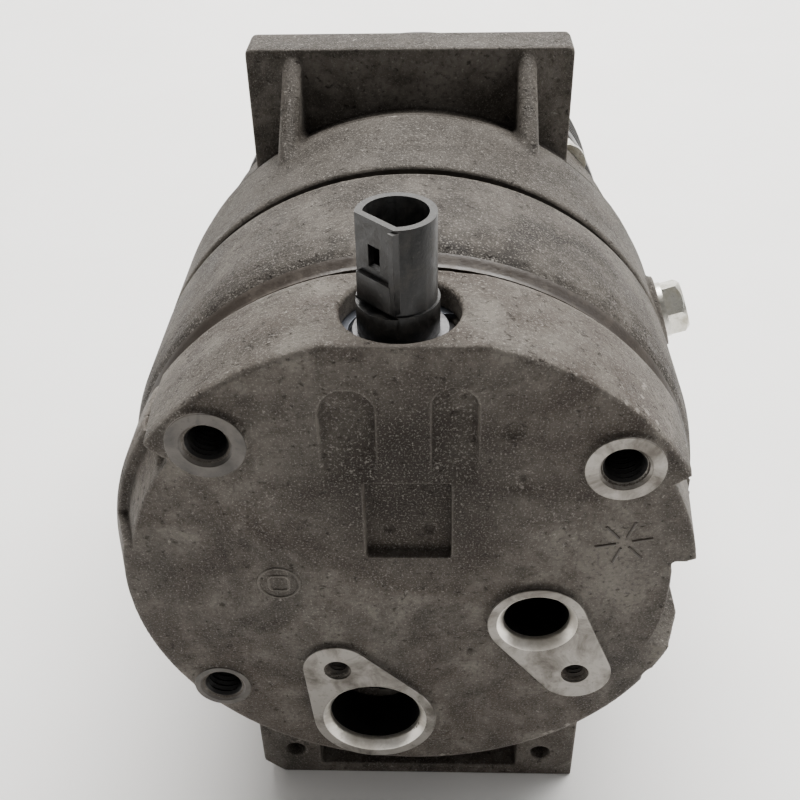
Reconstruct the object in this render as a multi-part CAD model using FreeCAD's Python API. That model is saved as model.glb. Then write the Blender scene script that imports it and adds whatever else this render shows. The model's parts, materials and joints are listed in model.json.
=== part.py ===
"""Belt-driven, variable-stroke refrigerant compressor with a magnetic clutch.

Frame, millimetres: the shaft lies along Y, the rear face is at Y = 0 and the belt pulley is at
the +Y end, +Z is up and X is to the right when seen from the rear. The origin is the point
where the shaft axis meets the rear face. Azimuths are degrees from +Z towards +X.
"""
import FreeCAD, Part
import math
import os

from FreeCAD import Vector

os.makedirs("parts", exist_ok=True)

# ---- driving dimensions -------------------------------------------------------------------
FACE_R = 59.7            # rear face outline
HEAD_R = 63.6            # rear head body
BODY_R = 65.0            # cylinder block and front housing
NECK_R = 61.6            # floor of the two joint grooves
SEAM_REAR = 28.0         # joint of rear head and cylinder block
SEAM_FRONT = 66.75       # joint of cylinder block and front housing
FLANGE_Y = 122.4         # front face that the through bolts clamp
FLOOR_Z = -86.5          # lowest plane, which both feet reach
PLATFORM_Z = 61.5        # machined flat round the control valve

CYLINDERS = 5
CYLINDER_AZ = [10 + 72 * i for i in range(CYLINDERS)]
BOLT_AZ = [46 + 72 * i for i in range(CYLINDERS)]
CYLINDER_CIRCLE = 33.5
BORE_R = 17.0
PISTON_R = 16.96
BOLT_CIRCLE = 57.5
BOLT_R = 3.0
STACK_R = 51.5           # valve plate, reeds and gaskets
SPIGOT_R = 53.0
CRANKCASE_R = 52.0

TILT_Y = 87.5            # centre about which the wobble plate tilts
BALL_R = 5.0
SOCKET_R = 6.6
LUG_Y = 114.5            # rear face of the drive lug disc
HINGE_R = 19.0           # hinge pin, from the shaft axis
HINGE_Y = TILT_Y + 18.2

SHAFT_R = 9.0
VALVE_X = -0.8
VALVE_Y = 13.0

SUCTION = (-8.3, -42.3)
SUCTION_R = 10.5
DISCHARGE = (27.4, -9.0)
DISCHARGE_R = 7.1
PAD_HEIGHT = 1.0
REAR_HOLES = [(-37.4, 39.6, 7.85, 0.9), (41.5, 34.3, 7.8, 0.9), (-42.7, -31.7, 6.6, 0.5)]
REAR_HOLE_R = 4.25       # tap drill of M10
REAR_HOLE_DEPTH = 13.0

PULLEY_R = 58.5
PULLEY_REAR = 148.0
PULLEY_FRONT = 184.0
RIB_PITCH = 3.56         # PK belt profile
NOSE_R = 17.5            # seat of the pulley bearing, 35 mm
ARMATURE_GAP = 0.5

Y_AXIS = Vector(0, 1, 0)
Z_AXIS = Vector(0, 0, 1)
ORIGIN = Vector(0, 0, 0)


# ---- helpers ------------------------------------------------------------------------------
def polar(radius, azimuth):
    """X and Z of a point at this radius and azimuth about the shaft."""
    a = math.radians(azimuth)
    return radius * math.sin(a), radius * math.cos(a)


def rod(radius, y0, y1, x=0.0, z=0.0):
    return Part.makeCylinder(radius, y1 - y0, Vector(x, y0, z), Y_AXIS)


def tube(outer, inner, y0, y1, x=0.0, z=0.0):
    return rod(outer, y0, y1, x, z).cut(rod(inner, y0 - 1, y1 + 1, x, z))


def cone(r0, r1, y0, y1, x=0.0, z=0.0):
    return Part.makeCone(r0, r1, y1 - y0, Vector(x, y0, z), Y_AXIS)


def block(x0, x1, y0, y1, z0, z1):
    return Part.makeBox(x1 - x0, y1 - y0, z1 - z0, Vector(x0, y0, z0))


def post(radius, z0, z1, x=VALVE_X, y=VALVE_Y):
    return Part.makeCylinder(radius, z1 - z0, Vector(x, y, z0), Z_AXIS)


def turned(points):
    """Solid of revolution about the shaft axis of an outline given as (radius, y)."""
    outline = [Vector(r, y, 0) for r, y in points]
    wire = Part.makePolygon(outline + outline[:1])
    return Part.Face(wire).revolve(ORIGIN, Y_AXIS, 360)


def joined(shapes):
    """One solid from shapes that overlap or touch."""
    first, rest = shapes[0], shapes[1:]
    return first.fuse(rest).removeSplitter() if rest else first


def group(shapes):
    """Separate solids that share a node."""
    return Part.makeCompound(shapes)


def prism_y(points, y0, y1):
    """Outline of (x, z) points, extruded from y0 to y1."""
    outline = [Vector(x, y0, z) for x, z in points]
    face = Part.Face(Part.makePolygon(outline + outline[:1]))
    return face.extrude(Vector(0, y1 - y0, 0))


def prism_x(points, x0, x1):
    """Outline of (y, z) points, extruded from x0 to x1."""
    outline = [Vector(x0, y, z) for y, z in points]
    face = Part.Face(Part.makePolygon(outline + outline[:1]))
    return face.extrude(Vector(x1 - x0, 0, 0))


def wedge(az0, az1, reach, y0, y1):
    """Pie slice about the shaft between two azimuths."""
    steps = [az0 + (az1 - az0) * i / 8 for i in range(9)]
    return prism_y([(0, 0)] + [polar(reach, a) for a in steps], y0, y1)


def tear(big, big_r, small, small_r, y0, y1):
    """Teardrop plate: the outer tangents of a large and a small circle."""
    dx, dz = small[0] - big[0], small[1] - big[1]
    far = math.hypot(dx, dz)
    lean = math.acos((big_r - small_r) / far)
    course = math.atan2(dz, dx)
    corners = []
    for centre, radius, side in ((big, big_r, 1), (small, small_r, 1),
                                 (small, small_r, -1), (big, big_r, -1)):
        angle = course + side * lean
        corners.append((centre[0] + radius * math.cos(angle), centre[1] + radius * math.sin(angle)))
    web = prism_y(corners, y0, y1)
    return joined([web, rod(big_r, y0, y1, *big), rod(small_r, y0, y1, *small)])


def hexagon(across_flats, centre, axis, height, turn=0.0):
    """Hexagonal prism standing on centre along axis."""
    corner = across_flats / math.sqrt(3)
    points = []
    for i in range(6):
        angle = math.radians(turn + 60 * i)
        points.append(Vector(corner * math.cos(angle), corner * math.sin(angle), 0))
    solid = Part.Face(Part.makePolygon(points + points[:1])).extrude(Vector(0, 0, height))
    solid.Placement = FreeCAD.Placement(centre, FreeCAD.Rotation(Z_AXIS, axis))
    return solid


def ring_of(section_r, centre_r, y):
    """O-ring about the shaft axis."""
    return Part.makeTorus(centre_r, section_r, Vector(0, y, 0), Y_AXIS)


def save(name, shape):
    shape.exportStep("parts/" + name + ".step")


# ---- rear head ----------------------------------------------------------------------------
SUCTION_CHAMBER = (29.0, 49.5)
DISCHARGE_CHAMBER = 25.5
CHAMBER_Y = 13.5


def head_blank():
    """Drafted drum with a taller crown over the top third and a flat platform on it."""
    drum = turned([(0, 0), (FACE_R - 1.2, 0), (FACE_R - 0.3, 0.4), (FACE_R, 1.4), (HEAD_R, 12),
                   (HEAD_R, 23.0), (HEAD_R - 0.6, 25.0), (NECK_R, 26.4), (NECK_R, SEAM_REAR),
                   (0, SEAM_REAR)])
    crown = turned([(0, 0), (62.2, 0), (63.0, 0.5), (63.3, 1.6), (HEAD_R + 0.3, 12),
                    (HEAD_R + 0.3, 22.5), (HEAD_R - 0.4, 24.8), (NECK_R, 26.2), (0, 26.2)])
    crown = crown.common(wedge(-53.5, 60, 90, -1, 27))
    blank = joined([drum, crown])
    return blank.cut(block(-40, 40, -1, 25.5, PLATFORM_Z, 70))


def head_edge_cuts():
    """The bevelled relief at the upper left and the stepped notches at the right."""
    bevel = turned([(57.2, -1), (57.4, 0), (60.6, 9.5), (80, 9.5), (80, -1)])
    bevel = bevel.common(wedge(-78, -54, 100, -2, 12))
    notch = tube(90, 54.4, -1, 25.2).common(wedge(81, 107.5, 120, -2, 26))
    dent = rod(3.4, -1, 14, 55.4, -28.0)
    slim = turned([(59.3, -1), (59.3, 0), (60.9, 16), (61.3, 25.2), (90, 25.2), (90, -1)])
    slim = slim.common(wedge(60, 81.2, 120, -2, 26))
    gap = tube(90, 57.4, -1, 25.2).common(wedge(-56.2, -52.2, 120, -2, 26))
    return [bevel, notch, dent, slim, gap]


def valve_relief():
    """Relief each side of the valve bore's rib, deepest at its arched top, and a core pocket."""
    sides = [block(-16.0, -5.5, -2, 3, 30, 46.5), rod(5.2, -2, 3, -10.7, 46.5),
             block(5.0, 13.6, -2, 3, 30, 48), rod(4.3, -2, 3, 9.3, 48)]
    ramp = prism_x([(-3, 29), (0, 29), (2.0, 45), (2.0, 56), (-3, 56)], -20, 20)
    relief = joined([side.common(ramp) for side in sides])
    rib = Part.makeCylinder(9.6, 30, Vector(VALVE_X + 0.7, 9.4, 28), Z_AXIS)
    pocket = block(-8.3, 9.0, -1, 2.6, 9.6, 29.4)
    pits = [rod(1.5, 2, 3.4, -3.8, 15.2), rod(1.5, 2, 3.4, 4.6, 15.0)]
    return joined([relief.cut(rib), pocket] + pits)


def chambers():
    """Suction ring and discharge core, kept clear of the valve bore and of each other."""
    inner, outer = SUCTION_CHAMBER
    port_core = rod(9.6, CHAMBER_Y, SEAM_REAR + 1, *DISCHARGE)
    port_wall = rod(12.4, CHAMBER_Y - 1, SEAM_REAR + 2, *DISCHARGE)
    valve_wall = post(13.6, -8, 70)
    suction = tube(outer, inner, CHAMBER_Y, SEAM_REAR + 1).cut(port_wall).cut(valve_wall)
    for az in (118, 262):
        rib = block(-2, 2, CHAMBER_Y - 1, SEAM_REAR + 2, inner - 2, outer + 2)
        rib.rotate(ORIGIN, Y_AXIS, az)
        suction = suction.cut(rib)
    core = rod(DISCHARGE_CHAMBER, CHAMBER_Y, SEAM_REAR + 1)
    discharge = core.fuse(port_core).cut(valve_wall)
    return [suction, discharge]


def valve_bore():
    """Stepped blind hole down from the platform, with the snap ring's groove."""
    return joined([post(11.4, 48, 70), post(9.5, 26, 49), post(7.0, 6, 27),
                   post(12.1, 55.0, 56.4),
                   Part.makeCone(11.4, 12.2, 0.8, Vector(VALVE_X, VALVE_Y, 60.8), Z_AXIS)])


def rear_foot():
    """Foot with two tapped bosses and a pocket between them that opens to the rear."""
    outline = [(-40, -58), (-40, -81.8), (-35, FLOOR_Z), (42, FLOOR_Z), (42, -58)]
    foot = prism_y(outline, 14, SEAM_REAR - 0.2)
    foot = foot.cut(block(-24.6, 27, 13, 23.4, -82.8, -50))
    for x in (-31.2, 33.2):
        foot = foot.cut(rod(2.5, 13, 25, x, -77.0)).cut(cone(3.2, 2.4, 13.8, 14.6, x, -77.0))
    return foot


def rear_head():
    shape = head_blank()
    for cut in head_edge_cuts():
        shape = shape.cut(cut)
    shape = shape.cut(valve_relief())
    pads = [tear(SUCTION, 14.2, (-16.1, -25.0), 7.7, -PAD_HEIGHT, 1),
            tear(DISCHARGE, 10.6, (36.6, -25.1), 8.0, -PAD_HEIGHT, 1)]
    bosses = [rod(r, -height, 1, x, z) for x, z, r, height in REAR_HOLES]
    foot = rear_foot().cut(rod(50, 13, 30))
    shape = joined([shape, foot] + pads + bosses)
    for chamber in chambers():
        shape = shape.cut(chamber)
    shape = shape.cut(valve_bore())
    for (x, z), r in ((SUCTION, SUCTION_R), (DISCHARGE, DISCHARGE_R)):
        shape = shape.cut(rod(r, -2, CHAMBER_Y + 0.5, x, z))
        shape = shape.cut(cone(r + 1.6, r, -PAD_HEIGHT, 0.4, x, z))
    for x, z in ((-16.1, -25.0), (36.6, -25.1)):
        shape = shape.cut(rod(2.5, -2, 11.5, x, z))
        shape = shape.cut(cone(3.2, 2.4, -PAD_HEIGHT, -0.2, x, z))
    for x, z, _, height in REAR_HOLES:
        shape = shape.cut(rod(REAR_HOLE_R, -2, REAR_HOLE_DEPTH, x, z))
        shape = shape.cut(cone(REAR_HOLE_R + 0.9, REAR_HOLE_R, -height, 0.0, x, z))
    for az in BOLT_AZ:
        shape = shape.cut(rod(BOLT_R, 15, SEAM_REAR + 1, *polar(BOLT_CIRCLE, az)))
    return shape


# ---- valve plate stack --------------------------------------------------------------------
GASKET_Y = 28.9
PLATE_Y = 31.9
REED_Y = 32.3
BLOCK_Y = 32.8
SUCTION_HOLE = (41.0, 4.0)
DISCHARGE_HOLE = (21.5, 3.1)


def head_gasket():
    shape = rod(STACK_R, SEAM_REAR, GASKET_Y)
    for chamber in chambers():
        shape = shape.cut(chamber)
    return shape


def valve_plate():
    plate = rod(STACK_R, GASKET_Y, PLATE_Y)
    for az in CYLINDER_AZ:
        for circle, r in (SUCTION_HOLE, DISCHARGE_HOLE):
            plate = plate.cut(rod(r, GASKET_Y - 1, PLATE_Y + 1, *polar(circle, az)))
    return plate


def finger_star(hub_r, tip_r, width, y0, y1):
    """Disc with one finger for each cylinder."""
    fingers = []
    for az in CYLINDER_AZ:
        finger = block(-width / 2, width / 2, y0, y1, 0, tip_r - width / 2)
        finger.rotate(ORIGIN, Y_AXIS, az)
        fingers += [finger, rod(width / 2, y0, y1, *polar(tip_r - width / 2, az))]
    return joined([rod(hub_r, y0, y1)] + fingers)


def discharge_reeds():
    return finger_star(10.5, 25.1, 7.0, GASKET_Y - 0.4, GASKET_Y)


def discharge_retainer():
    return finger_star(9.5, 23.0, 5.0, GASKET_Y - 1.4, GASKET_Y - 0.4)


def suction_reeds():
    """Sheet with a tongue cut free round each suction hole."""
    sheet = rod(STACK_R, PLATE_Y, REED_Y)
    for az in CYLINDER_AZ:
        x, z = polar(SUCTION_HOLE[0], az)
        slot = tube(6.2, 5.4, PLATE_Y - 1, REED_Y + 1, x, z)
        hinge = block(-3.6, 3.6, PLATE_Y - 2, REED_Y + 2, -8, 0)
        hinge.rotate(ORIGIN, Y_AXIS, az)
        hinge.translate(Vector(x, 0, z))
        sheet = sheet.cut(slot.cut(hinge))
        sheet = sheet.cut(rod(2.6, PLATE_Y - 1, REED_Y + 1, *polar(DISCHARGE_HOLE[0], az)))
    return sheet


def block_gasket():
    shape = rod(STACK_R, REED_Y, BLOCK_Y).cut(rod(11, REED_Y - 1, BLOCK_Y + 1))
    for az in CYLINDER_AZ:
        shape = shape.cut(rod(BORE_R, REED_Y - 1, BLOCK_Y + 1, *polar(CYLINDER_CIRCLE, az)))
    return shape


# ---- cylinder block and front housing -----------------------------------------------------
def cylinder_block():
    shape = turned([(0, SEAM_REAR), (NECK_R, SEAM_REAR), (NECK_R, 28.8), (63.0, 30.2), (64.2, 32.6),
                    (BODY_R, 38), (BODY_R, 62.8), (64.6, 63.4), (NECK_R, 63.7), (NECK_R, SEAM_FRONT),
                    (SPIGOT_R, SEAM_FRONT), (SPIGOT_R, 70.25), (0, 70.25)])
    shape = shape.cut(rod(STACK_R + 0.2, SEAM_REAR - 1, BLOCK_Y))
    shape = shape.cut(tube(53.4, 51.0, SEAM_REAR - 1, SEAM_REAR + 1.8))
    for az in CYLINDER_AZ:
        shape = shape.cut(rod(BORE_R, 30, 72, *polar(CYLINDER_CIRCLE, az)))
    for az in BOLT_AZ:
        shape = shape.cut(rod(BOLT_R + 0.3, 27, 68, *polar(BOLT_CIRCLE, az)))
    shape = shape.cut(rod(9.6, 30, 72)).cut(rod(11, 40, 62))
    shape = shape.cut(tube(SPIGOT_R + 1, SPIGOT_R - 1.3, 67.6, 69.2))
    return shape.cut(rod(GUIDE_R, 60, 72, *GUIDE_AT))


GUIDE_R = 3.0
GUIDE_AT = polar(47.5, 190)


EAR_X = -1.2
EAR_HALF = 41.4
EAR_TOP = 76.8
GUSSET_HALF = 29.6


def ear_gusset(x):
    """Gusset with a rounded crest from the ear down to the drum."""
    top, low = Vector(x, 111, 73.2), Vector(x, 86.5, 54.6)
    web = prism_x([(111, 73.2), (86.5, 54.6), (111, 54.6)], x - 2.4, x + 2.4)
    crest = Part.makeCylinder(2.4, (low - top).Length, top, low - top)
    foot = Part.makeSphere(2.4, low)
    return [web, crest, foot]


def upper_ear():
    x0, x1 = EAR_X - EAR_HALF, EAR_X + EAR_HALF
    outline = [(x0, 40), (x0, EAR_TOP - 1), (x0 + 1, EAR_TOP), (x1 - 1, EAR_TOP),
               (x1, EAR_TOP - 1), (x1, 40)]
    pieces = [prism_y(outline, 110, FLANGE_Y)]
    for side in (-GUSSET_HALF, GUSSET_HALF):
        pieces += ear_gusset(EAR_X + side)
    return joined(pieces)


def lower_ear():
    """Front foot: it shares the rear foot's plane, so the machine stands level."""
    plate = block(-41, 41, 110, FLANGE_Y, FLOOR_Z, -40)
    toe = block(-41, 41, 104, 134, FLOOR_Z, -66)
    return joined([plate, toe])


EAR_HOLES = [(EAR_X - 30.5, 66.0), (EAR_X + 30.5, 66.0)]
TOE_HOLES = [(-30.5, -76.0), (30.5, -76.0)]
EAR_HOLE_R = 3.4         # tap drill of M8
PLUG_Y = 77.5
PLUG_AZ = 72.0


def plug_axis():
    x, z = polar(1, PLUG_AZ)
    return Vector(x, 0, z)


def on_plug(radius):
    return plug_axis() * radius + Vector(0, PLUG_Y, 0)


def housing_shell():
    return turned([(SPIGOT_R, SEAM_FRONT), (64.4, SEAM_FRONT), (BODY_R, SEAM_FRONT + 0.6),
                   (BODY_R, 92), (64.4, 98), (61.8, 106), (61.0, 112),
                   (61.0, FLANGE_Y), (51.5, FLANGE_Y), (46, 129), (41, 131.5), (41, 137),
                   (22, 137), (22, 153), (NOSE_R, 153), (NOSE_R, 175), (13, 175), (13, 150),
                   (10, 150), (10, 138), (14, 138), (14, 122.5), (44, 122.5), (CRANKCASE_R, 116),
                   (CRANKCASE_R, 70.6), (SPIGOT_R, 70.6)])


def front_housing():
    shell = housing_shell()
    core = rod(CRANKCASE_R, 69, 116).fuse(cone(CRANKCASE_R, 44, 116, 122.5))
    ears = [ear.cut(core) for ear in (upper_ear(), lower_ear())]
    boss = Part.makeCylinder(9, 8, on_plug(58), plug_axis())
    shape = joined([shell] + ears + [boss])
    for az in BOLT_AZ:
        shape = shape.cut(rod(BOLT_R + 0.3, 60, 140, *polar(BOLT_CIRCLE, az)))
    shape = shape.cut(tube(90, 41.5, FLANGE_Y, 136.9).common(
        joined([rod(6.6, FLANGE_Y, 136, *polar(BOLT_CIRCLE, az)) for az in BOLT_AZ])))
    for x, z in EAR_HOLES:
        shape = shape.cut(rod(EAR_HOLE_R, 112.4, 123, x, z))
    for x, z in TOE_HOLES:
        shape = shape.cut(rod(EAR_HOLE_R, 112, 135, x, z))
    shape = shape.cut(Part.makeCylinder(4.0, 20, on_plug(48), plug_axis()))
    shape = shape.cut(rod(GUIDE_R, 110, 124.5, *GUIDE_AT))
    for y0, y1, floor_r, top_r in ((141.1, 142.3, 21, 23), (173.4, 174.6, 16.4, 18)):
        shape = shape.cut(tube(top_r, floor_r, y0, y1))
    return shape.cut(tube(14, 12.5, 166.5, 167.7))


def through_bolts():
    """Flanged hex bolts from the front flange into the rear head."""
    bolts = []
    for az in BOLT_AZ:
        x, z = polar(BOLT_CIRCLE, az)
        head = hexagon(9, Vector(x, FLANGE_Y + 1.2, z), Y_AXIS, 5.0, az)
        bolts.append(joined([rod(BOLT_R, 15.5, FLANGE_Y + 2, x, z),
                             rod(5.8, FLANGE_Y, FLANGE_Y + 1.4, x, z), head]))
    return group(bolts)


def hex_plug():
    head = hexagon(12, on_plug(67.2), plug_axis(), 4.8, 12)
    rim = Part.makeCone(7.2, 5.4, 1.8, on_plug(70.4), plug_axis())
    top = head.common(joined([Part.makeCylinder(9, 3.2, on_plug(67.2), plug_axis()), rim]))
    return joined([top, Part.makeCylinder(4.0, 12, on_plug(56), plug_axis())])


def plug_washer():
    outer = Part.makeCylinder(7.0, 1.2, on_plug(66), plug_axis())
    return outer.cut(Part.makeCylinder(4.0, 4, on_plug(64), plug_axis()))


def guide_rod():
    return rod(GUIDE_R, 60.5, 124, *GUIDE_AT)


# ---- control valve ------------------------------------------------------------------------
PLUNGER_R = 2.0


def valve_body():
    """Brass and steel cartridge with three lands, bored for the plunger."""
    body = joined([post(9.4, 26.4, 50.4), post(6.9, 8, 27)])
    for z in (12, 19):
        body = body.cut(post(9, z, z + 2.2).cut(post(5.6, z - 1, z + 4)))
    body = body.cut(post(11, 33, 35.4).cut(post(8.0, 32, 36)))
    ports = [Part.makeCylinder(1.3, 20, Vector(VALVE_X - 10, VALVE_Y, z), Vector(1, 0, 0))
             for z in (10.2, 16.6)]
    for port in ports:
        body = body.cut(port)
    return body.cut(post(PLUNGER_R + 0.05, 7, 40)).cut(post(6.0, 38, 51))


def valve_seals():
    rings = []
    for z, centre_r, r in ((13.1, 6.3, 0.68), (20.1, 6.3, 0.68), (34.2, 8.76, 0.72)):
        rings.append(Part.makeTorus(centre_r, r, Vector(VALVE_X, VALVE_Y, z), Z_AXIS))
    return group(rings)


def solenoid_can():
    """Steel can with its flange, seen at the bottom of the bore's mouth."""
    can = joined([post(11.2, 50.6, 54.6), post(9.2, 54.0, 57.2)])
    return can.cut(post(6.4, 50, 60))


def snap_ring():
    ring = post(12.0, 55.1, 56.3).cut(post(10.0, 54, 58))
    return ring.cut(block(VALVE_X, VALVE_X + 14, VALVE_Y - 6, VALVE_Y + 6, 50, 60))


def valve_plunger():
    return joined([post(PLUNGER_R, 9.4, 44), post(4.6, 41.0, 47.0)])


def plunger_spring():
    return helix_spring(4.9, 0.45, 1.75, 4, Vector(VALVE_X, VALVE_Y, 47.5), Z_AXIS)


SPRING_STEPS = 14         # facets per turn


def coil_section(mean_r, half, pitch, step):
    """Corners of the square wire after this many steps round the helix."""
    angle = 2 * math.pi * step / SPRING_STEPS
    rise = pitch * step / SPRING_STEPS
    corners = []
    for side, lift in ((-half, -half), (half, -half), (half, half), (-half, half)):
        radius = mean_r + side
        corners.append(Vector(radius * math.cos(angle), radius * math.sin(angle), rise + lift))
    return corners


def helix_spring(mean_r, half, pitch, turns, start, axis):
    """Square-wire spring whose helix runs from start along axis."""
    rings = [coil_section(mean_r, half, pitch, i) for i in range(SPRING_STEPS * turns + 1)]
    faces = []
    for near, far in zip(rings, rings[1:]):
        for i in range(4):
            j = (i + 1) % 4
            for corners in ((near[i], near[j], far[j]), (near[i], far[j], far[i])):
                faces.append(Part.Face(Part.makePolygon(corners + corners[:1])))
    for end in (rings[0], rings[-1]):
        faces.append(Part.Face(Part.makePolygon(end + end[:1])))
    spring = Part.Solid(Part.makeShell(faces))
    spring.Placement = FreeCAD.Placement(start, FreeCAD.Rotation(Z_AXIS, axis))
    return spring


CONNECTOR_X = -1.2
CONNECTOR_R = 7.3
CONNECTOR_TOP = 81.0


def connector():
    """Two-way plug socket: a drum with a keyed flat at its near left, a latch slot and open top."""
    x, y, r = CONNECTOR_X, VALVE_Y, CONNECTOR_R
    drum = joined([post(r, 60.0, CONNECTOR_TOP, x), post(r + 0.5, 57.2, 64.0, x),
                   post(6.3, 55.4, 58)])
    flat = block(-20, 20, -30, -5.3, 63.6, 90)
    ledge = block(-4.2, 4.6, -6.2, -5.0, 64.6, 70.0)
    latch = block(-1.7, 1.3, -8, -3, 71.6, 76.0)
    ridge = block(4.3, 5.6, -6.1, -4.2, 64.6, CONNECTOR_TOP - 0.5)
    inner = post(5.9, 66, 90, x).cut(keyed(block(-9, 9, -9, -4.0, 60, 95)))
    drum = joined([drum.cut(keyed(flat)), keyed(ledge), keyed(ridge)])
    return drum.cut(inner).cut(keyed(latch))


def keyed(shape):
    """Turns a shape drawn at the socket's near side round to its keyed flat."""
    shape.rotate(ORIGIN, Z_AXIS, -45)
    shape.translate(Vector(CONNECTOR_X, VALVE_Y, 0))
    return shape


def terminals():
    blades = []
    for dx in (-2.2, 2.2):
        blade = block(CONNECTOR_X + dx - 0.35, CONNECTOR_X + dx + 0.35,
                      VALVE_Y - 1.2, VALVE_Y + 1.2, 66, 76.5)
        blades.append(blade)
    return group(blades)


# ---- running gear -------------------------------------------------------------------------
def drive_shaft():
    return turned([(0, 38), (6.4, 38), (7, 38.6), (7, 64), (SHAFT_R, 64.6), (SHAFT_R, 138.5),
                   (8, 139), (8, 169.5), (7, 170), (7, 188.5), (5, 188.9), (5, 199.4),
                   (4.4, 200), (0, 200)])


def drive_lug():
    """Lug disc on the shaft, with two slotted arms that carry the hinge pin."""
    disc = tube(38, SHAFT_R, LUG_Y, 120)
    arms = []
    for sign in (-1, 1):
        inner, outer = sorted((sign * 9.0, sign * 13.5))
        arm = block(inner, outer, TILT_Y + 16.6, LUG_Y + 1, 7.2, 29)
        slot = block(inner - 1, outer + 1, TILT_Y + 10, TILT_Y + 25.5, 10.4, 26.2)
        arms.append(arm.cut(slot))
    weight = tube(36, 20, LUG_Y - 2.5, LUG_Y + 1).common(wedge(150, 210, 60, 110, 118))
    return joined([disc, weight] + arms)


def stroke_spring():
    return helix_spring(10.3, 0.55, 1.5, 4, Vector(0, 71.2, 0), Y_AXIS)


def thrust_bearing():
    """Roller race between the lug disc and the housing wall."""
    return tube(34, 16, 120.05, 122.4)


def journal():
    """Tilting drive plate: a sleeve that spins in the wobble plate, with the hinge ear."""
    sleeve = tube(20, 9, TILT_Y - 4.6, TILT_Y + 10.3)
    flange = tube(24, 9, TILT_Y + 7.8, TILT_Y + 10.3)
    ear = block(-3.5, 3.5, TILT_Y + 10, TILT_Y + 21.2, 12, 25)
    body = joined([sleeve, flange, ear])
    waist = 9.6
    body = body.cut(cone(waist, waist + 6.5, TILT_Y, TILT_Y + 22))
    body = body.cut(cone(waist + 6.5, waist, TILT_Y - 22, TILT_Y))
    return body.cut(Part.makeCylinder(2.5, 20, Vector(-10, HINGE_Y, HINGE_R), Vector(1, 0, 0)))


def hinge_pin():
    return Part.makeCylinder(2.5, 25, Vector(-12.5, HINGE_Y, HINGE_R), Vector(1, 0, 0))


def wobble_plate():
    """Plate that rocks without turning: five ball sockets and a fork on the guide rod."""
    y0, y1 = TILT_Y - 5, TILT_Y + 6.6
    disc = tube(44, 24, y0, y1)
    gx, gz = GUIDE_AT
    fork = block(gx - 7, gx + 7, y0, y1, -48.0, -38)
    plate = joined([disc, fork]).cut(block(gx - 3.6, gx + 3.6, y0 - 1, y1 + 1, -55, -41.5))
    for az in CYLINDER_AZ:
        plate = plate.cut(rod(SOCKET_R, y0 - 1, TILT_Y + 5.4, *polar(CYLINDER_CIRCLE, az)))
    return plate


def wobble_bearing():
    return tube(24, 20.04, TILT_Y - 4.4, TILT_Y + 6.4)


def wobble_thrust_ring():
    return tube(23.6, 20.2, TILT_Y + 6.65, TILT_Y + 7.7)


PISTON_Y = 41.7
PISTON_LENGTH = 24.0
WRIST_Y = PISTON_Y + 12


def piston(az):
    x, z = polar(CYLINDER_CIRCLE, az)
    body = rod(PISTON_R, PISTON_Y, PISTON_Y + PISTON_LENGTH, x, z)
    body = body.cut(tube(13.4, 8.4, PISTON_Y + 5, PISTON_Y + 30, x, z))
    body = body.cut(rod(8.4, WRIST_Y + 3.2, PISTON_Y + 30, x, z))
    body = body.cut(Part.makeSphere(BALL_R + 0.03, Vector(x, WRIST_Y, z)))
    body = body.cut(cone(3.6, 5.4, WRIST_Y + 2, WRIST_Y + 3.4, x, z))
    return body.cut(tube(18, PISTON_R - 1.0, PISTON_Y + 3, PISTON_Y + 4.6, x, z))


def piston_ring(az):
    x, z = polar(CYLINDER_CIRCLE, az)
    return tube(BORE_R - 0.02, PISTON_R - 0.9, PISTON_Y + 3.1, PISTON_Y + 4.5, x, z)


def piston_rod(az):
    x, z = polar(CYLINDER_CIRCLE, az)
    return joined([rod(3.0, WRIST_Y, TILT_Y, x, z), Part.makeSphere(BALL_R, Vector(x, WRIST_Y, z)),
                   Part.makeSphere(BALL_R, Vector(x, TILT_Y, z))])


def rear_bearing():
    return tube(11, 7.03, 44, 60)


def front_bearing():
    return tube(14, 9.03, 124, 137.5)


def shaft_seal():
    """Lip seal: metal case, with a lip that leans on the shaft."""
    return turned([(13, 152), (13, 164), (10.6, 164), (10.6, 155), (8.6, 160), (8.04, 160),
                   (8.04, 158), (9.6, 152)])


def seal_ring_clip():
    return tube(13.9, 11, 166.6, 167.6).cut(block(-3, 3, 160, 170, 0, 20))


# ---- clutch and pulley --------------------------------------------------------------------
def clutch_coil():
    """Coil in its steel cup, on a mounting plate against the front housing."""
    plate = tube(41, 22.1, 137.05, 141.1)
    cup = tube(48.6, 30, 138.5, 174)
    winding_room = tube(46.6, 32, 145, 175)
    return joined([plate, cup.cut(winding_room)])


def coil_winding():
    return tube(46.5, 32.1, 145.1, 172.5)


def open_clip(outer, inner, y0, y1):
    """Snap ring on the nose, with its gap at the bottom."""
    return tube(outer, inner, y0, y1).cut(block(-4, 4, y0 - 1, y1 + 1, -outer - 1, 0))


def pulley_outline():
    """Section of the belt rim, from its inside round to the ribs."""
    crest, root = PULLEY_R, PULLEY_R - 4.0
    first = PULLEY_FRONT - 3.2 - 6 * RIB_PITCH
    points = [(50, PULLEY_REAR), (crest - 1.2, PULLEY_REAR), (crest, PULLEY_REAR + 1.2),
              (crest, first - 4.4), (root, first - 1.4)]
    for i in range(6):
        y = first + i * RIB_PITCH
        points += [(root, y + 0.3), (crest - 0.7, y + 1.3), (crest - 0.7, y + 2.26),
                   (root, y + 3.26)]
    return points + [(root, PULLEY_FRONT - 3.0), (crest - 1.2, PULLEY_FRONT - 1.8),
                     (crest - 1.2, PULLEY_FRONT), (50, PULLEY_FRONT)]


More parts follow.
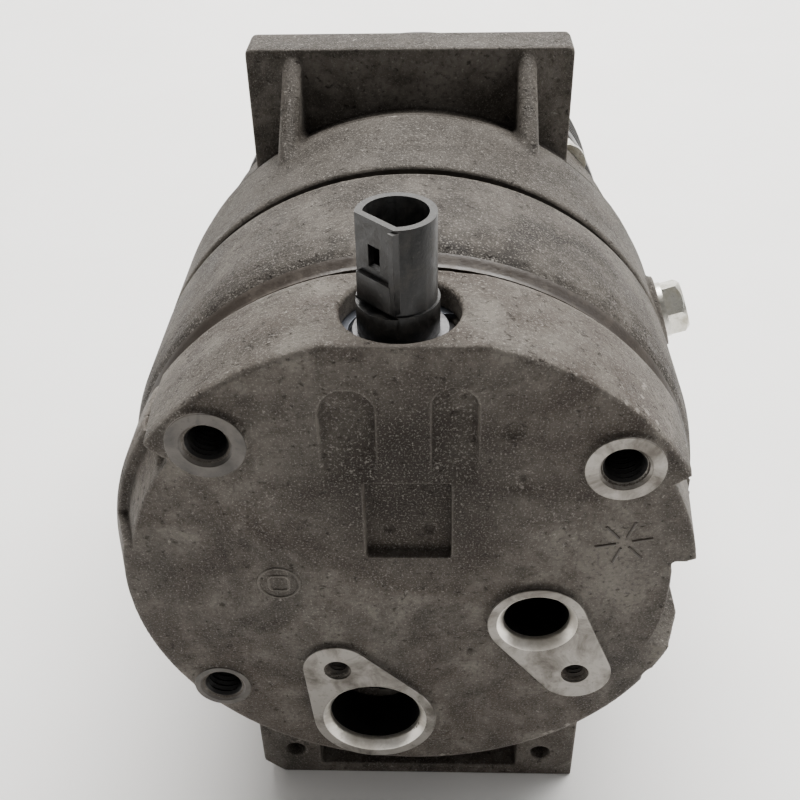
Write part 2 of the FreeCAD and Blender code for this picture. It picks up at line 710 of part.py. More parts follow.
def pulley():
    rim = turned(pulley_outline())
    web = tube(51, 27, 176, PULLEY_FRONT)
    hub = tube(28.4, 25, 153.2, 178)
    shape = joined([rim, web, hub])
    for i in range(3):
        for circle, half in ((34.5, 50), (43.0, 48)):
            slot = tube(circle + 1.2, circle - 1.2, 170, 190)
            shape = shape.cut(slot.common(wedge(120 * i - half, 120 * i + half, 80, 169, 191)))
    return shape


def bearing_inner_race():
    race = tube(19.9, NOSE_R, 153.3, 173.3)
    for y in (158.3, 168.3):
        race = race.cut(Part.makeTorus(21.25, 1.75, Vector(0, y, 0), Y_AXIS))
    return race


def bearing_outer_race():
    race = tube(25, 22.6, 153.3, 173.3)
    for y in (158.3, 168.3):
        race = race.cut(Part.makeTorus(21.25, 1.75, Vector(0, y, 0), Y_AXIS))
    return race


def bearing_balls():
    balls = []
    for y in (158.3, 168.3):
        for i in range(16):
            x, z = polar(21.25, i * 360 / 16)
            balls.append(Part.makeSphere(1.68, Vector(x, y, z)))
    return group(balls)


ARMATURE_Y = PULLEY_FRONT + ARMATURE_GAP
RIVET_CIRCLE = 40.0


def armature_plate():
    plate = tube(54, 27, ARMATURE_Y, ARMATURE_Y + 4.2)
    for i in range(3):
        slot = tube(49.0, 47.0, 180, 192).common(wedge(120 * i - 40, 120 * i + 40, 80, 179, 193))
        plate = plate.cut(slot)
    rivets = [rod(2.6, ARMATURE_Y + 4, ARMATURE_Y + 6.0, *polar(RIVET_CIRCLE, 60 + 120 * i))
              for i in range(3)]
    return joined([plate] + rivets)


def leaf_springs():
    """Three flat straps from the armature's rivets to the hub's plate."""
    straps = []
    y0 = ARMATURE_Y + 4.2
    for i in range(3):
        strap = block(-5, 5, y0, y0 + 0.7, 22, RIVET_CIRCLE + 5)
        strap = strap.cut(rod(2.6, y0 - 1, y0 + 2, 0, RIVET_CIRCLE))
        strap.rotate(ORIGIN, Y_AXIS, 60 + 120 * i)
        straps.append(strap)
    return group(straps)


def clutch_hub():
    """Hub on the shaft end, with a three-lobed plate over the straps."""
    y0 = ARMATURE_Y + 4.95
    lobes = [rod(8, y0, y0 + 2.6, *polar(26, 60 + 120 * i)) for i in range(3)]
    return joined([tube(11, 7, 171.5, y0 + 2.6), tube(25, 7, y0, y0 + 2.6)] + lobes).cut(
        rod(7, 160, 200))


def hub_nut():
    nut = hexagon(16, Vector(0, ARMATURE_Y + 7.55, 0), Y_AXIS, 6.0)
    return nut.cut(rod(5, 180, 205))


# ---- write every piece --------------------------------------------------------------------
PIECES = {
    "rear_head": rear_head, "head_gasket": head_gasket, "valve_plate": valve_plate,
    "discharge_reeds": discharge_reeds, "discharge_retainer": discharge_retainer,
    "suction_reeds": suction_reeds, "block_gasket": block_gasket,
    "cylinder_block": cylinder_block, "front_housing": front_housing,
    "through_bolts": through_bolts, "hex_plug": hex_plug, "plug_washer": plug_washer,
    "guide_rod": guide_rod, "valve_body": valve_body, "valve_seals": valve_seals,
    "solenoid_can": solenoid_can, "valve_snap_ring": snap_ring,
    "valve_plunger": valve_plunger, "plunger_spring": plunger_spring,
    "valve_connector": connector, "connector_terminals": terminals,
    "drive_shaft": drive_shaft, "drive_lug": drive_lug, "stroke_spring": stroke_spring,
    "thrust_bearing": thrust_bearing, "journal": journal, "hinge_pin": hinge_pin,
    "wobble_plate": wobble_plate, "wobble_bearing": wobble_bearing,
    "wobble_thrust_ring": wobble_thrust_ring, "rear_bearing": rear_bearing,
    "front_bearing": front_bearing, "shaft_seal": shaft_seal, "seal_clip": seal_ring_clip,
    "clutch_coil": clutch_coil, "coil_winding": coil_winding, "pulley": pulley,
    "bearing_inner_race": bearing_inner_race, "bearing_outer_race": bearing_outer_race,
    "bearing_balls": bearing_balls, "armature_plate": armature_plate,
    "leaf_springs": leaf_springs, "clutch_hub": clutch_hub, "hub_nut": hub_nut,
}

for piece_name, maker in PIECES.items():
    save(piece_name, maker())
save("rear_o_ring", ring_of(0.8, 52.55, SEAM_REAR + 0.9))
save("front_o_ring", ring_of(0.64, SPIGOT_R - 0.65, 68.4))
save("coil_clip", open_clip(24, 21.1, 141.2, 142.2))
save("bearing_clip", open_clip(20, 16.5, 173.5, 174.5))
for number, azimuth in enumerate(CYLINDER_AZ, 1):
    save("piston_%d" % number, group([piston(azimuth), piston_ring(azimuth)]))
    save("piston_rod_%d" % number, piston_rod(azimuth))
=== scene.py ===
"""Looks of the belt-driven refrigerant compressor: its castings, fittings, clutch and studio."""
import json
import math

import bpy
import numpy as np
from mathutils import Matrix, Vector


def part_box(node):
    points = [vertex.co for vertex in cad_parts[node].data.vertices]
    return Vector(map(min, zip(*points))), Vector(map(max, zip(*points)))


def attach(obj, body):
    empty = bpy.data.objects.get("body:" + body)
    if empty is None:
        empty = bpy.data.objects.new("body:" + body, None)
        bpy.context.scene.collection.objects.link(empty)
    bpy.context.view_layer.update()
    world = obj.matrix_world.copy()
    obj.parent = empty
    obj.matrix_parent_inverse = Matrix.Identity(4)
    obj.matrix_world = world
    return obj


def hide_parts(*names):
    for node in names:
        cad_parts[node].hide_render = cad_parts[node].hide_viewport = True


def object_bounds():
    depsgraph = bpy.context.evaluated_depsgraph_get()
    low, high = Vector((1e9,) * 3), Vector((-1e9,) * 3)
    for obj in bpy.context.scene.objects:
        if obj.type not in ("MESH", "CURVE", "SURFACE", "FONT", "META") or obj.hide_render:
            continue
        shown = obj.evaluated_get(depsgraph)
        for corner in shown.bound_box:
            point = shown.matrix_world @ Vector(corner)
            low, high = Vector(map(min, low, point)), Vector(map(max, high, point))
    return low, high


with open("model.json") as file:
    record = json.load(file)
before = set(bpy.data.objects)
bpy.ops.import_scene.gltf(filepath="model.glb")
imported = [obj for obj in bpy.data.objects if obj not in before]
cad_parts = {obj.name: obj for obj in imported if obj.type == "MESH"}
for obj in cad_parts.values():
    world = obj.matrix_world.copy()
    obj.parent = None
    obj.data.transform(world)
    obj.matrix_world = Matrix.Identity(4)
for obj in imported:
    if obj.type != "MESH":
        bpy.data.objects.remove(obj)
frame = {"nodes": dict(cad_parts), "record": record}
nodes = frame["nodes"]
body_at = {n: b for b, ns in frame["record"]["behaviour"]["bodies"].items() for n in ns}
slot_at = {s["node"]: s["material_slot"] for s in frame["record"]["subparts"]}
mount_at = {m["name"]: m for m in frame["record"]["mounts"]}
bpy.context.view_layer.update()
MM = 0.001


# ---- materials ----------------------------------------------------------------------------
class Shader:
    """A Principled material with short helpers for its procedural nodes."""

    def __init__(self, name):
        self.mat = bpy.data.materials.new(name)
        self.mat.use_nodes = True
        self.nodes = self.mat.node_tree.nodes
        self.links = self.mat.node_tree.links
        self.out = self.nodes["Principled BSDF"]
        self.where = self.nodes.new("ShaderNodeTexCoord").outputs["Object"]

    def put(self, socket, value):
        if isinstance(value, bpy.types.NodeSocket):
            self.links.new(value, socket)
        else:
            socket.default_value = value

    def noise(self, scale, detail=4.0, rough=0.55, warp=0.0, stretch=None):
        n = self.nodes.new("ShaderNodeTexNoise")
        n.inputs["Scale"].default_value = scale
        n.inputs["Detail"].default_value = detail
        n.inputs["Roughness"].default_value = rough
        n.inputs["Distortion"].default_value = warp
        self.put(n.inputs["Vector"], self.stretched(stretch) if stretch else self.where)
        return n.outputs["Fac"]

    def stretched(self, factors):
        n = self.nodes.new("ShaderNodeMapping")
        n.inputs["Scale"].default_value = factors
        self.links.new(self.where, n.inputs["Vector"])
        return n.outputs["Vector"]

    def ramp(self, value, low, high, a=0.0, b=1.0):
        n = self.nodes.new("ShaderNodeMapRange")
        for key, setting in (("From Min", low), ("From Max", high), ("To Min", a), ("To Max", b)):
            n.inputs[key].default_value = setting
        self.put(n.inputs["Value"], value)
        return n.outputs["Result"]

    def math(self, kind, a, b):
        n = self.nodes.new("ShaderNodeMath")
        n.operation = kind
        self.put(n.inputs[0], a)
        self.put(n.inputs[1], b)
        return n.outputs[0]

    def mix(self, factor, a, b):
        n = self.nodes.new("ShaderNodeMix")
        n.data_type = "RGBA"
        self.put(n.inputs["Factor"], factor)
        self.put(n.inputs[6], a)
        self.put(n.inputs[7], b)
        return n.outputs[2]

    def bump(self, height, depth, under=None):
        n = self.nodes.new("ShaderNodeBump")
        n.inputs["Distance"].default_value = depth
        self.put(n.inputs["Height"], height)
        if under is not None:
            self.links.new(under, n.inputs["Normal"])
        return n.outputs["Normal"]

    def edges(self, low, high):
        n = self.nodes.new("ShaderNodeNewGeometry")
        return self.ramp(n.outputs["Pointiness"], low, high)

    def facing(self, axis, low, high):
        geometry = self.nodes.new("ShaderNodeNewGeometry")
        split = self.nodes.new("ShaderNodeSeparateXYZ")
        self.links.new(geometry.outputs["Normal"], split.inputs[0])
        return self.ramp(split.outputs[axis], low, high)

    def near(self, point, inner, outer):
        """1 within inner metres of the point, 0 beyond outer."""
        n = self.nodes.new("ShaderNodeVectorMath")
        n.operation = "DISTANCE"
        self.links.new(self.where, n.inputs[0])
        n.inputs[1].default_value = point
        return self.ramp(n.outputs["Value"], inner, outer, 1.0, 0.0)

    def along(self, axis):
        split = self.nodes.new("ShaderNodeSeparateXYZ")
        self.links.new(self.where, split.inputs[0])
        return split.outputs[axis]

    def finish(self, colour, rough, metal=0.0, normal=None):
        self.put(self.out.inputs["Base Color"], colour)
        self.put(self.out.inputs["Roughness"], rough)
        self.put(self.out.inputs["Metallic"], metal)
        if normal is not None:
            self.links.new(normal, self.out.inputs["Normal"])
        return self.mat


def rgb(r, g, b):
    """Scene colour of an 8-bit display colour."""
    return tuple((c / 255) ** 2.2 for c in (r, g, b)) + (1.0,)


def cast_metal(name, pale, mid, dark, stain=0.5, seed=0.0, oil_and_shade=0.0, top_darkening=0.0):
    """Aged sand-blasted die casting: grain, blotches of dirt, dark pores, bright rubbed edges with a
    painted highlight, and painted shade in its creases.

    oily is how far a brown film darkens what faces the rear, more so higher up: an oil stain with
    painted shade, along with painted shade around the valve pockets. settled is how far what faces
    up is darkened.
    """
    s = Shader(name)
    blotch = s.noise(38 + seed, 5, 0.62, 0.5)
    patch = s.noise(115 + seed, 6, 0.66, 0.3)
    grain = s.noise(1150, 4, 0.8)
    fine = s.noise(2300, 3, 0.75)
    speck = s.noise(520 + seed, 3, 0.6, 0.2)
    tone = s.math("ADD", s.math("MULTIPLY", blotch, 0.5), s.math("MULTIPLY", patch, 0.5))
    colour = s.mix(s.ramp(tone, 0.43, 0.58), mid, pale)
    colour = s.mix(s.math("MULTIPLY", s.ramp(s.noise(26 + seed, 7, 0.7, 1.2), 0.47, 0.66), stain),
                   colour, dark)
    if oil_and_shade:
        # brown film on what faces the rear, heavier higher up: an oil stain with painted shade
        film = s.math("MULTIPLY", s.facing("Y", -0.35, -0.95), s.ramp(tone, 0.64, 0.36, 0.3, 1.0))
        high = s.ramp(s.along("Z"), -0.03, 0.04, 0.5, 1.0)
        colour = s.mix(s.math("MULTIPLY", s.math("MULTIPLY", film, high), oil_and_shade), colour,
                       rgb(44, 38, 34))
        # painted shade in and around the valve bore's pockets on the rear face
        pocket_shade = s.math("ADD", s.near((0.0, 0.0, 0.030), 0.010, 0.036), s.math("MULTIPLY", patch, 0.4))
        pocket_shade = s.math("MULTIPLY", s.facing("Y", -0.2, -0.6), s.ramp(pocket_shade, 0.35, 1.2, 0.0, 0.8))
        colour = s.mix(pocket_shade, colour, rgb(36, 31, 27))
    # darker on what faces up
    colour = s.mix(s.math("MULTIPLY", s.facing("Z", 0.25, 0.9), top_darkening), colour, dark)
    colour = s.mix(s.ramp(grain, 0.52, 0.64, 0.0, 0.8), colour, dark)
    colour = s.mix(s.ramp(fine, 0.54, 0.66, 0.0, 0.75), colour, rgb(136, 131, 125))
    colour = s.mix(s.ramp(speck, 0.62, 0.68, 0.0, 0.6), colour, rgb(40, 35, 31))
    colour = s.mix(s.ramp(s.noise(760, 3, 0.6), 0.65, 0.72, 0.0, 0.42), colour, rgb(160, 155, 148))
    # lighter on convex edges: rubbed wear with a painted highlight
    colour = s.mix(s.math("MULTIPLY", s.edges(0.515, 0.60), 0.5), colour, rgb(150, 144, 137))
    # painted shade in creases and hollows
    colour = s.mix(s.math("MULTIPLY", s.edges(0.494, 0.43), 0.8), colour, rgb(38, 33, 29))
    rough = s.ramp(patch, 0.3, 0.7, 0.52, 0.8)
    s.out.inputs["Specular IOR Level"].default_value = 0.2
    normal = s.bump(s.noise(210, 5, 0.6), 0.0004)
    normal = s.bump(grain, 0.0003, normal)
    normal = s.bump(s.ramp(speck, 0.60, 0.70, 1.0, 0.0), 0.0002, normal)
    return s.finish(colour, rough, 0.1, normal)


def milled(name, colour, dull, scale=900.0, metal=0.9):
    """Machined metal: fine tool lines, dulled and stained in patches."""
    s = Shader(name)
    lines = s.noise(scale, 3, 0.6, 0.0, (0.12, 1.0, 1.0))
    patch = s.noise(120, 6, 0.65, 0.6)
    tint = s.mix(s.ramp(patch, 0.42, 0.66), colour, dull)
    tint = s.mix(s.ramp(s.noise(700, 3, 0.6), 0.60, 0.72, 0.0, 0.6), tint, dull)
    rough = s.ramp(patch, 0.3, 0.7, 0.28, 0.5)
    normal = s.bump(lines, 0.00005)
    normal = s.bump(s.noise(420, 4, 0.6), 0.00008, normal)
    return s.finish(tint, rough, metal, normal)


def plated(name, colour, dull):
    """Zinc plate: faint mottling towards a duller tone."""
    s = Shader(name)
    patch = s.noise(300, 5, 0.6, 0.4)
    tint = s.mix(s.ramp(patch, 0.45, 0.68), colour, dull)
    normal = s.bump(s.noise(1200, 3, 0.6), 0.00006)
    return s.finish(tint, s.ramp(patch, 0.3, 0.7, 0.22, 0.42), 0.95, normal)


def moulded(name, colour, dust, amount):
    """Glass-filled plastic with dust in patches and flecks."""
    s = Shader(name)
    cloud = s.noise(260, 6, 0.7, 0.6)
    film = s.math("MULTIPLY", s.ramp(cloud, 0.48, 0.72), amount)
    flecks = s.ramp(s.noise(1500, 2, 0.5), 0.66, 0.74, 0.0, amount * 0.9)
    tint = s.mix(film, colour, dust)
    tint = s.mix(flecks, tint, dust)
    normal = s.bump(s.noise(1400, 3, 0.6), 0.00006)
    return s.finish(tint, s.ramp(cloud, 0.35, 0.7, 0.30, 0.62), 0.0, normal)


def coated(name, colour, worn, metal=0.6):
    """Thin dark coating over steel, rubbed through in places."""
    s = Shader(name)
    wear = s.noise(70, 8, 0.75, 0.15)
    tint = s.mix(s.ramp(wear, 0.50, 0.80, 0.0, 0.6), colour, worn)
    tint = s.mix(s.ramp(s.noise(900, 3, 0.6), 0.58, 0.70, 0.0, 0.3), tint, worn)
    normal = s.bump(s.noise(700, 4, 0.6), 0.0001)
    return s.finish(tint, s.ramp(wear, 0.4, 0.7, 0.55, 0.36), metal, normal)


MATERIALS = {
    # cast_head's rear face takes the brown film with painted shade; each casting's last number darkens
    # what faces up
    "cast_head": cast_metal("cast_head", rgb(120, 115, 108), rgb(82, 75, 69), rgb(33, 29, 26),
                            0.7, 0.0, 0.68, 0.3),
    "cast_block": cast_metal("cast_block", rgb(106, 101, 95), rgb(66, 61, 56), rgb(27, 23, 20),
                             0.8, 3.0, 0.0, 0.3),
    "cast_front": cast_metal("cast_front", rgb(110, 105, 99), rgb(76, 71, 65), rgb(36, 32, 28),
                             0.65, 7.0, 0.0, 0.6),
    "pad": milled("pad", rgb(148, 144, 138), rgb(90, 85, 79), 1100, 0.6),
    "bright": milled("bright", rgb(226, 222, 214), rgb(186, 180, 170), 1300, 0.9),
    "boss": milled("boss", rgb(80, 75, 70), rgb(54, 50, 46), 900, 0.1),
    "forged_aluminium": milled("forged_aluminium", rgb(196, 196, 198), rgb(150, 150, 150)),
    "steel": milled("steel", rgb(172, 172, 174), rgb(120, 118, 115)),
    "spring_steel": milled("spring_steel", rgb(116, 120, 128), rgb(80, 82, 88)),
    "iron": milled("iron", rgb(104, 104, 106), rgb(72, 70, 70), 500, 0.8),
    "brass": milled("brass", rgb(200, 170, 104), rgb(150, 120, 70)),
    "tin": plated("tin", rgb(205, 203, 196), rgb(150, 148, 140)),
    "zinc": plated("zinc", rgb(205, 203, 194), rgb(158, 154, 140)),
    "rubber": moulded("rubber", rgb(24, 24, 26), rgb(60, 58, 54), 0.2),
    "gasket": moulded("gasket", rgb(58, 58, 62), rgb(90, 88, 84), 0.3),
    "resin": moulded("resin", rgb(48, 32, 24), rgb(96, 82, 66), 0.3),
    "black_plastic": moulded("black_plastic", rgb(13, 13, 14), rgb(86, 81, 75), 0.3),
    "pulley_steel": coated("pulley_steel", rgb(72, 71, 70), rgb(128, 124, 118)),
    "clutch_steel": coated("clutch_steel", rgb(86, 84, 82), rgb(140, 134, 126)),
}
# near-black painted shade for the insides of the rear head, the port bores and the tapped holes
MATERIALS["cavity_shade"] = moulded("cavity_shade", rgb(13, 11, 10), rgb(34, 29, 25), 0.3)
# near-black painted shade for the front joint groove; dark silt with painted shade for the rear groove
# and the dial's strokes
MATERIALS["joint_shade"] = moulded("joint_shade", rgb(30, 26, 22), rgb(74, 66, 57), 0.55)
MATERIALS["silt_and_shade"] = moulded("silt_and_shade", rgb(58, 51, 45), rgb(92, 84, 75), 0.6)
MATERIALS["bored"] = milled("bored", rgb(168, 166, 162), rgb(118, 114, 108), 700, 0.8)


# ---- mesh helpers -------------------------------------------------------------------------
def linked(name, mesh):
    obj = bpy.data.objects.new(name, mesh)
    bpy.context.scene.collection.objects.link(obj)
    return obj


def evaluated(obj):
    """Replaces the object's mesh by the result of its modifiers."""
    bpy.context.view_layer.update()
    shape = obj.evaluated_get(bpy.context.evaluated_depsgraph_get())
    mesh = bpy.data.meshes.new_from_object(shape)
    obj.modifiers.clear()
    obj.data = mesh
    return obj


def smooth(mesh, angle=38):
    mesh.polygons.foreach_set("use_smooth", [True] * len(mesh.polygons))
    mesh.set_sharp_from_angle(angle=math.radians(angle))


def dressed(obj, material, body, stands_for=()):
    obj.data.materials.clear()
    obj.data.materials.append(MATERIALS[material])
    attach(obj, body)
    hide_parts(*stands_for)
    return obj


def casting(node, voxel, rounds, lining, reach, y0, y1):
    """Rounds every edge of a CAD casting, as its mould does.

    What lies within reach of the shaft between y0 and y1 is the inside, with its own lining.
    """
    obj = linked(node + "_cast", nodes[node].data.copy())
    weld = obj.modifiers.new("weld", "WELD")
    weld.merge_threshold = 1e-6
    remesh = obj.modifiers.new("remesh", "REMESH")
    remesh.mode = "VOXEL"
    remesh.voxel_size = voxel
    relax = obj.modifiers.new("relax", "SMOOTH")
    relax.factor = 0.5
    relax.iterations = rounds
    evaluated(obj)
    count = len(obj.data.polygons)
    obj.data.polygons.foreach_set("use_smooth", [True] * count)
    dressed(obj, slot_at[node], body_at[node], [node])
    obj.data.materials.append(MATERIALS[lining])
    centre = np.zeros(count * 3, np.float32)
    obj.data.polygons.foreach_get("center", centre)
    centre = centre.reshape(-1, 3) / MM
    inside = (np.hypot(centre[:, 0], centre[:, 2]) < reach) & (centre[:, 1] > y0) & (
        centre[:, 1] < y1)
    obj.data.polygons.foreach_set("material_index", inside.astype(np.int32))
    return obj


def pressed(obj, spots):
    """Dimples in the rear face: (x, z, radius, depth), a negative depth standing proud."""
    count = len(obj.data.vertices)
    co = np.zeros(count * 3, np.float32)
    obj.data.vertices.foreach_get("co", co)
    co = co.reshape(-1, 3)
    for x, z, radius, depth in spots:
        away = np.hypot(co[:, 0] - x * MM, co[:, 2] - z * MM) / (radius * MM)
        near = (co[:, 1] < 4.0 * MM) & (away < 1.6)
        co[near, 1] += depth * MM * np.exp(-2.2 * away[near] ** 4)
    obj.data.vertices.foreach_set("co", co.ravel())
    obj.data.update()


def crisp(node, width=0.25):
    """A CAD node as it is, with welded corners and a small bevel on its edges."""
    obj = nodes[node]
    obj.data.materials.clear()
    obj.data.materials.append(MATERIALS[slot_at[node]])
    weld = obj.modifiers.new("weld", "WELD")
    weld.merge_threshold = 1e-6
    if width:
        bevel = obj.modifiers.new("bevel", "BEVEL")
        bevel.width = width * MM
        bevel.segments = 2
        bevel.limit_method = "ANGLE"
        bevel.angle_limit = math.radians(38)
        bevel.harden_normals = True


def plate(name, outlines, y, thick, bevel, material, body="housing"):
    """Flat plate facing -Y, from closed outlines of (x, z) in millimetres; inner ones are holes."""
    curve = bpy.data.curves.new(name, "CURVE")
    curve.dimensions = "2D"
    curve.fill_mode = "BOTH"
    curve.extrude = (thick / 2 - bevel) * MM
    curve.bevel_depth = bevel * MM
    curve.bevel_resolution = 2
    for outline in outlines:
        spline = curve.splines.new("POLY")
        spline.points.add(len(outline) - 1)
        for point, (x, z) in zip(spline.points, outline):
            point.co = (x * MM, z * MM, 0, 1)
        spline.use_cyclic_u = True
    flat = linked(name + "_curve", curve)
    flat.matrix_world = Matrix.Translation((0, (y + thick / 2) * MM, 0)) @ Matrix.Rotation(
        math.radians(90), 4, "X")
    bpy.context.view_layer.update()
    mesh = bpy.data.meshes.new_from_object(flat.evaluated_get(bpy.context.evaluated_depsgraph_get()))
    mesh.transform(flat.matrix_world)
    bpy.data.objects.remove(flat)
    smooth(mesh)
    return dressed(linked(name, mesh), material, body)


def circle(x, z, radius, steps=72):
    return [(x + radius * math.cos(2 * math.pi * i / steps),
             z + radius * math.sin(2 * math.pi * i / steps)) for i in range(steps)]


def teardrop(big, big_r, small, small_r, steps=40):
    """Outline of two circles and their outer tangents."""
    dx, dz = small[0] - big[0], small[1] - big[1]
    lean = math.acos((big_r - small_r) / math.hypot(dx, dz))
    course = math.atan2(dz, dx)
    points = []
    for i in range(steps + 1):
        a = course - lean + 2 * lean * i / steps
        points.append((small[0] + small_r * math.cos(a), small[1] + small_r * math.sin(a)))
    for i in range(steps + 1):
        a = course + lean + (2 * math.pi - 2 * lean) * i / steps
        points.append((big[0] + big_r * math.cos(a), big[1] + big_r * math.sin(a)))
    return points


def lathe(name, profile, x, z, material, body="housing", steps=96):
    """Turned skin about an axis along Y; the profile is (radius, y) in millimetres."""
    verts, faces = [], []
    for radius, y in profile:
        for i in range(steps):
            a = 2 * math.pi * i / steps
            verts.append(((x + radius * math.cos(a)) * MM, y * MM, (z + radius * math.sin(a)) * MM))
    for row in range(len(profile) - 1):
        for i in range(steps):
            j = (i + 1) % steps
            near, far = row * steps, (row + 1) * steps
            faces.append((near + i, near + j, far + j, far + i))
    mesh = bpy.data.meshes.new(name)
    mesh.from_pydata(verts, [], faces)
    smooth(mesh)
    return dressed(linked(name, mesh), material, body)


def bead(name, paths, radius, material, body="housing"):
    """Raised cast lines: round beads along paths of (x, y, z) in millimetres."""
    curve = bpy.data.curves.new(name, "CURVE")
    curve.dimensions = "3D"
    curve.bevel_depth = radius * MM
    curve.bevel_resolution = 3
    curve.use_fill_caps = True
    for path, closed in paths:
        spline = curve.splines.new("POLY")
        spline.points.add(len(path) - 1)
        for point, co in zip(spline.points, path):
            point.co = (*(c * MM for c in co), 1)
        spline.use_cyclic_u = closed
    line = linked(name + "_curve", curve)
    bpy.context.view_layer.update()
    mesh = bpy.data.meshes.new_from_object(line.evaluated_get(bpy.context.evaluated_depsgraph_get()))
    bpy.data.objects.remove(line)
    smooth(mesh, 60)
    return dressed(linked(name, mesh), material, body)


# ---- castings -----------------------------------------------------------------------------
FINE = 0.45
# the rear head's inside is lined in near-black painted shade
head = casting("rear_head", FINE * MM, 2, "cavity_shade", 51.5, 3.8, 28)
casting("cylinder_block", (FINE + 0.2) * MM, 2, "bored", 54, 27, 71)
casting("front_housing", (FINE + 0.1) * MM, 3, "bored", 51.9, 68, 121)
pressed(head, [(20.1, 42.9, 2.6, 0.9), (22.4, 29.9, 3.4, 0.7), (-4, -2, 9, 0.15), (30, 18, 8, 0.18),
               (13.4, -19.4, 1.1, 0.7), (-30, 22, 7, 0.2), (5, -48, 7, -0.15), (-20, -8, 6, -0.15)])


# dark rings in the two joint grooves: painted shade in the front one, silt with painted shade in the
# rear one
seam_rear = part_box("rear_head")[1].y / MM
seam_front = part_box("front_housing")[0].y / MM
lathe("rear_groove_silt_shade", [(62.6, seam_rear - 1.7), (61.9, seam_rear - 1.4), (61.8, seam_rear),
                           (62.1, seam_rear + 0.8), (62.9, seam_rear + 1.6),
                           (63.4, seam_rear + 2.6)], 0, 0, "silt_and_shade")
lathe("front_groove_shade", [(63.4, seam_front - 3.1), (62.0, seam_front - 2.9),
                            (61.75, seam_front - 1.5), (62.0, seam_front - 0.3),
                            (64.2, seam_front - 0.06)], 0, 0, "joint_shade")


# the housing's outer wall over the through bolts, which is too thin to come through the rounding
lathe("front_housing_skin", [(64.44, 98), (61.85, 106), (61.05, 112), (61.05, 121.6)], 0, 0,
      "cast_front")


# ---- ports, pads and bosses on the rear face ----------------------------------------------
def at(mount):
    """X and Z of a mount, and its radius, in millimetres."""
    x, _, z = mount_at[mount]["pos_m"]
    return x / MM, z / MM, mount_at[mount]["dims"]["r_mm"]


PAD_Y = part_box("rear_head")[0].y / MM
for port, screw, big_r, small_r in (("suction_port", "suction_pad_screw", 14.0, 7.5),
                                    ("discharge_port", "discharge_pad_screw", 10.4, 7.8)):
    px, pz, pr = at(port)
    sx, sz, sr = at(screw)
    plate(port + "_pad", [teardrop((px, pz), big_r, (sx, sz), small_r), circle(px, pz, pr + 1.6),
                          circle(sx, sz, sr + 0.7, 48)], PAD_Y - 0.3, 0.7, 0.18, "pad")
    lathe(port + "_chamfer", [(pr + 1.75, PAD_Y - 0.12), (pr + 1.6, PAD_Y - 0.3),
                              (pr + 1.35, PAD_Y - 0.22), (pr + 0.1, 0.25), (pr - 0.06, 0.6),
                              (pr - 0.06, 1.6)], px, pz, "bright")
    # the port bore is near-black painted shade
    lathe(port + "_bore", [(pr - 0.06, 1.6), (pr - 0.08, 13.2)], px, pz, "cavity_shade")
    lathe(screw + "_thread", [(sr + 0.75, PAD_Y - 0.2), (sr - 0.05, 0.1)] + [
        (sr - 0.05 - 0.35 * (i % 2), 0.1 + 0.5 * i) for i in range(1, 20)], sx, sz, "boss")

for hole, rim in (("rear_hole_left", 7.6), ("rear_hole_right", 7.55), ("rear_hole_low", 6.3)):
    hx, hz, hr = at(hole)
    top = -0.5 if hole == "rear_hole_low" else -0.9
    finish = "pad" if hole == "rear_hole_right" else "boss"
    plate(hole + "_face", [circle(hx, hz, rim), circle(hx, hz, hr + 0.95)], top - 0.15, 0.5, 0.15,
          finish)
    lathe(hole + "_sink", [(hr + 1.0, top - 0.1), (hr + 0.8, top - 0.02), (hr - 0.05, 0.15)],
          hx, hz, finish)
    # the thread inside is near-black painted shade
    lathe(hole + "_thread", [(hr - 0.05 - 0.45 * (i % 2), 0.15 + 0.7 * i) for i in range(18)],
          hx, hz, "cavity_shade")


def on_face(x, z):
    """A point on the rear face, which lies at Y = 0."""
    return (x, 0.0, z)


def rounded(value):
    """Signed square root, which bends a circle's sine and cosine into a rounded square's."""
    return math.copysign(abs(value) ** 0.5, value)


# plain foundry marks: a rounded square in a ring, and a dial of short strokes
MARK_X, MARK_Z, MARK_HALF, RING_R = -27, 1.8, 2.1, 4.3
DIAL_X, DIAL_Z, DIAL_INNER, DIAL_OUTER = 43.4, 14.3, 1.6, 5.8
BEAD_R = 0.30
corner = [on_face(MARK_X + MARK_HALF * rounded(math.cos(a)), MARK_Z + MARK_HALF * rounded(math.sin(a)))
          for a in (2 * math.pi * i / 40 for i in range(40))]
ring = [on_face(x, z) for x, z in circle(MARK_X, MARK_Z, RING_R, 48)]
strokes = []
for i in range(6):
    a = math.radians(60 * i + 12)
    stroke = [on_face(DIAL_X + r * math.cos(a), DIAL_Z + r * math.sin(a))
              for r in (DIAL_INNER, DIAL_OUTER)]
    strokes.append((stroke, False))
bead("foundry_marks", [(corner, True), (ring, True)], BEAD_R, "cast_head")
# the dial's strokes are dark silt with painted shade, standing for engraved strokes
bead("foundry_dial", strokes, BEAD_R, "silt_and_shade")


# ---- machined and bought-in pieces --------------------------------------------------------
REPLACED = {"rear_head", "cylinder_block", "front_housing"}
BEVELS = {"valve_connector": 0.3, "hex_plug": 0.3, "through_bolts": 0.25, "pulley": 0.2,
          "hub_nut": 0.25, "clutch_hub": 0.3, "armature_plate": 0.3, "clutch_coil": 0.4,
          "solenoid_can": 0.2, "valve_snap_ring": 0.15}
for node in sorted(nodes):
    if node not in REPLACED:
        crisp(node, BEVELS.get(node, 0))


# ---- studio -------------------------------------------------------------------------------
floor_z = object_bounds()[0].z


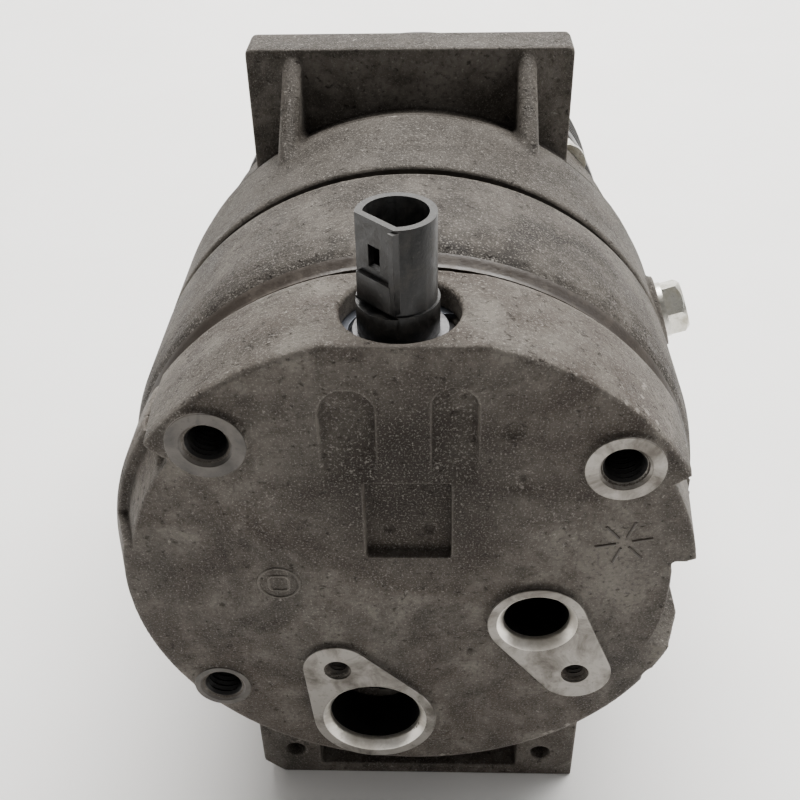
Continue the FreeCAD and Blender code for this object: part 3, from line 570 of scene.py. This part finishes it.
def backdrop():
    """Pale table that curves up into a wall behind the part."""
    profile = [(-1.6, 0.0), (0.9, 0.0)]
    for i in range(1, 13):
        a = math.radians(90 * i / 12)
        profile.append((0.9 + 0.5 * math.sin(a), 0.5 - 0.5 * math.cos(a)))
    profile.append((1.4, 2.2))
    verts = [(x, y, floor_z + z) for y, z in profile for x in (-2.5, 2.5)]
    faces = [(2 * i, 2 * i + 1, 2 * i + 3, 2 * i + 2) for i in range(len(profile) - 1)]
    mesh = bpy.data.meshes.new("table")
    mesh.from_pydata(verts, [], faces)
    smooth(mesh)
    s = Shader("table_paper")
    tone = s.noise(9, 4, 0.6)
    mesh.materials.append(s.finish(s.mix(s.ramp(tone, 0.35, 0.7), rgb(248, 247, 245),
                                         rgb(252, 251, 250)), 0.6, 0.0))
    linked("table", mesh)


def softbox(name, where, aim, size, power, tint):
    light = bpy.data.lights.new(name, "AREA")
    light.shape = "RECTANGLE"
    light.size, light.size_y = size
    light.energy = power
    light.color = tint
    obj = bpy.data.objects.new(name, light)
    bpy.context.scene.collection.objects.link(obj)
    obj.location = where
    obj.rotation_mode = "QUATERNION"
    obj.rotation_quaternion = (Vector(aim) - Vector(where)).to_track_quat("-Z", "Y")


backdrop()
softbox("ceiling", (0.15, 0.75, 1.3), (0, 0.08, 0), (1.6, 1.0), 72, (1.0, 0.985, 0.96))
softbox("left", (-0.9, 0.4, 0.8), (0, 0.05, 0), (0.8, 0.8), 1.0, (1.0, 0.97, 0.93))
softbox("right", (1.0, 0.3, 0.7), (0, 0.05, 0), (0.8, 0.8), 3.5, (0.96, 0.98, 1.0))
softbox("front", (0.1, -1.1, 0.35), (0, 0, 0), (1.0, 0.7), 1.05, (1.0, 0.98, 0.95))
world = bpy.data.worlds.new("studio")
bpy.context.scene.world = world
world.use_nodes = True
world.node_tree.nodes["Background"].inputs["Color"].default_value = (0.95, 0.94, 0.92, 1)
world.node_tree.nodes["Background"].inputs["Strength"].default_value = 0.24


# ---- camera -------------------------------------------------------------------------------
PITCH, YAW, ROLL = math.radians(36.96), math.radians(-2.52), math.radians(-1.39)
CAMERA_AT = (0.00597, -0.1517, 0.1641)
LENS, SENSOR = 47.25, 36
forward = Vector((math.sin(YAW) * math.cos(PITCH), math.cos(YAW) * math.cos(PITCH),
                  -math.sin(PITCH)))
level = Vector((math.cos(YAW), -math.sin(YAW), 0))
above = level.cross(forward)
right = math.cos(ROLL) * level + math.sin(ROLL) * above
up = -math.sin(ROLL) * level + math.cos(ROLL) * above
camera_data = bpy.data.cameras.new("camera")
camera_data.sensor_width = SENSOR
camera_data.lens = LENS
camera_data.clip_start = 0.01
camera = bpy.data.objects.new("camera", camera_data)
bpy.context.scene.collection.objects.link(camera)
turn = Matrix((right, up, -forward)).transposed().to_4x4()
camera.matrix_world = Matrix.Translation(CAMERA_AT) @ turn
bpy.context.scene.camera = camera
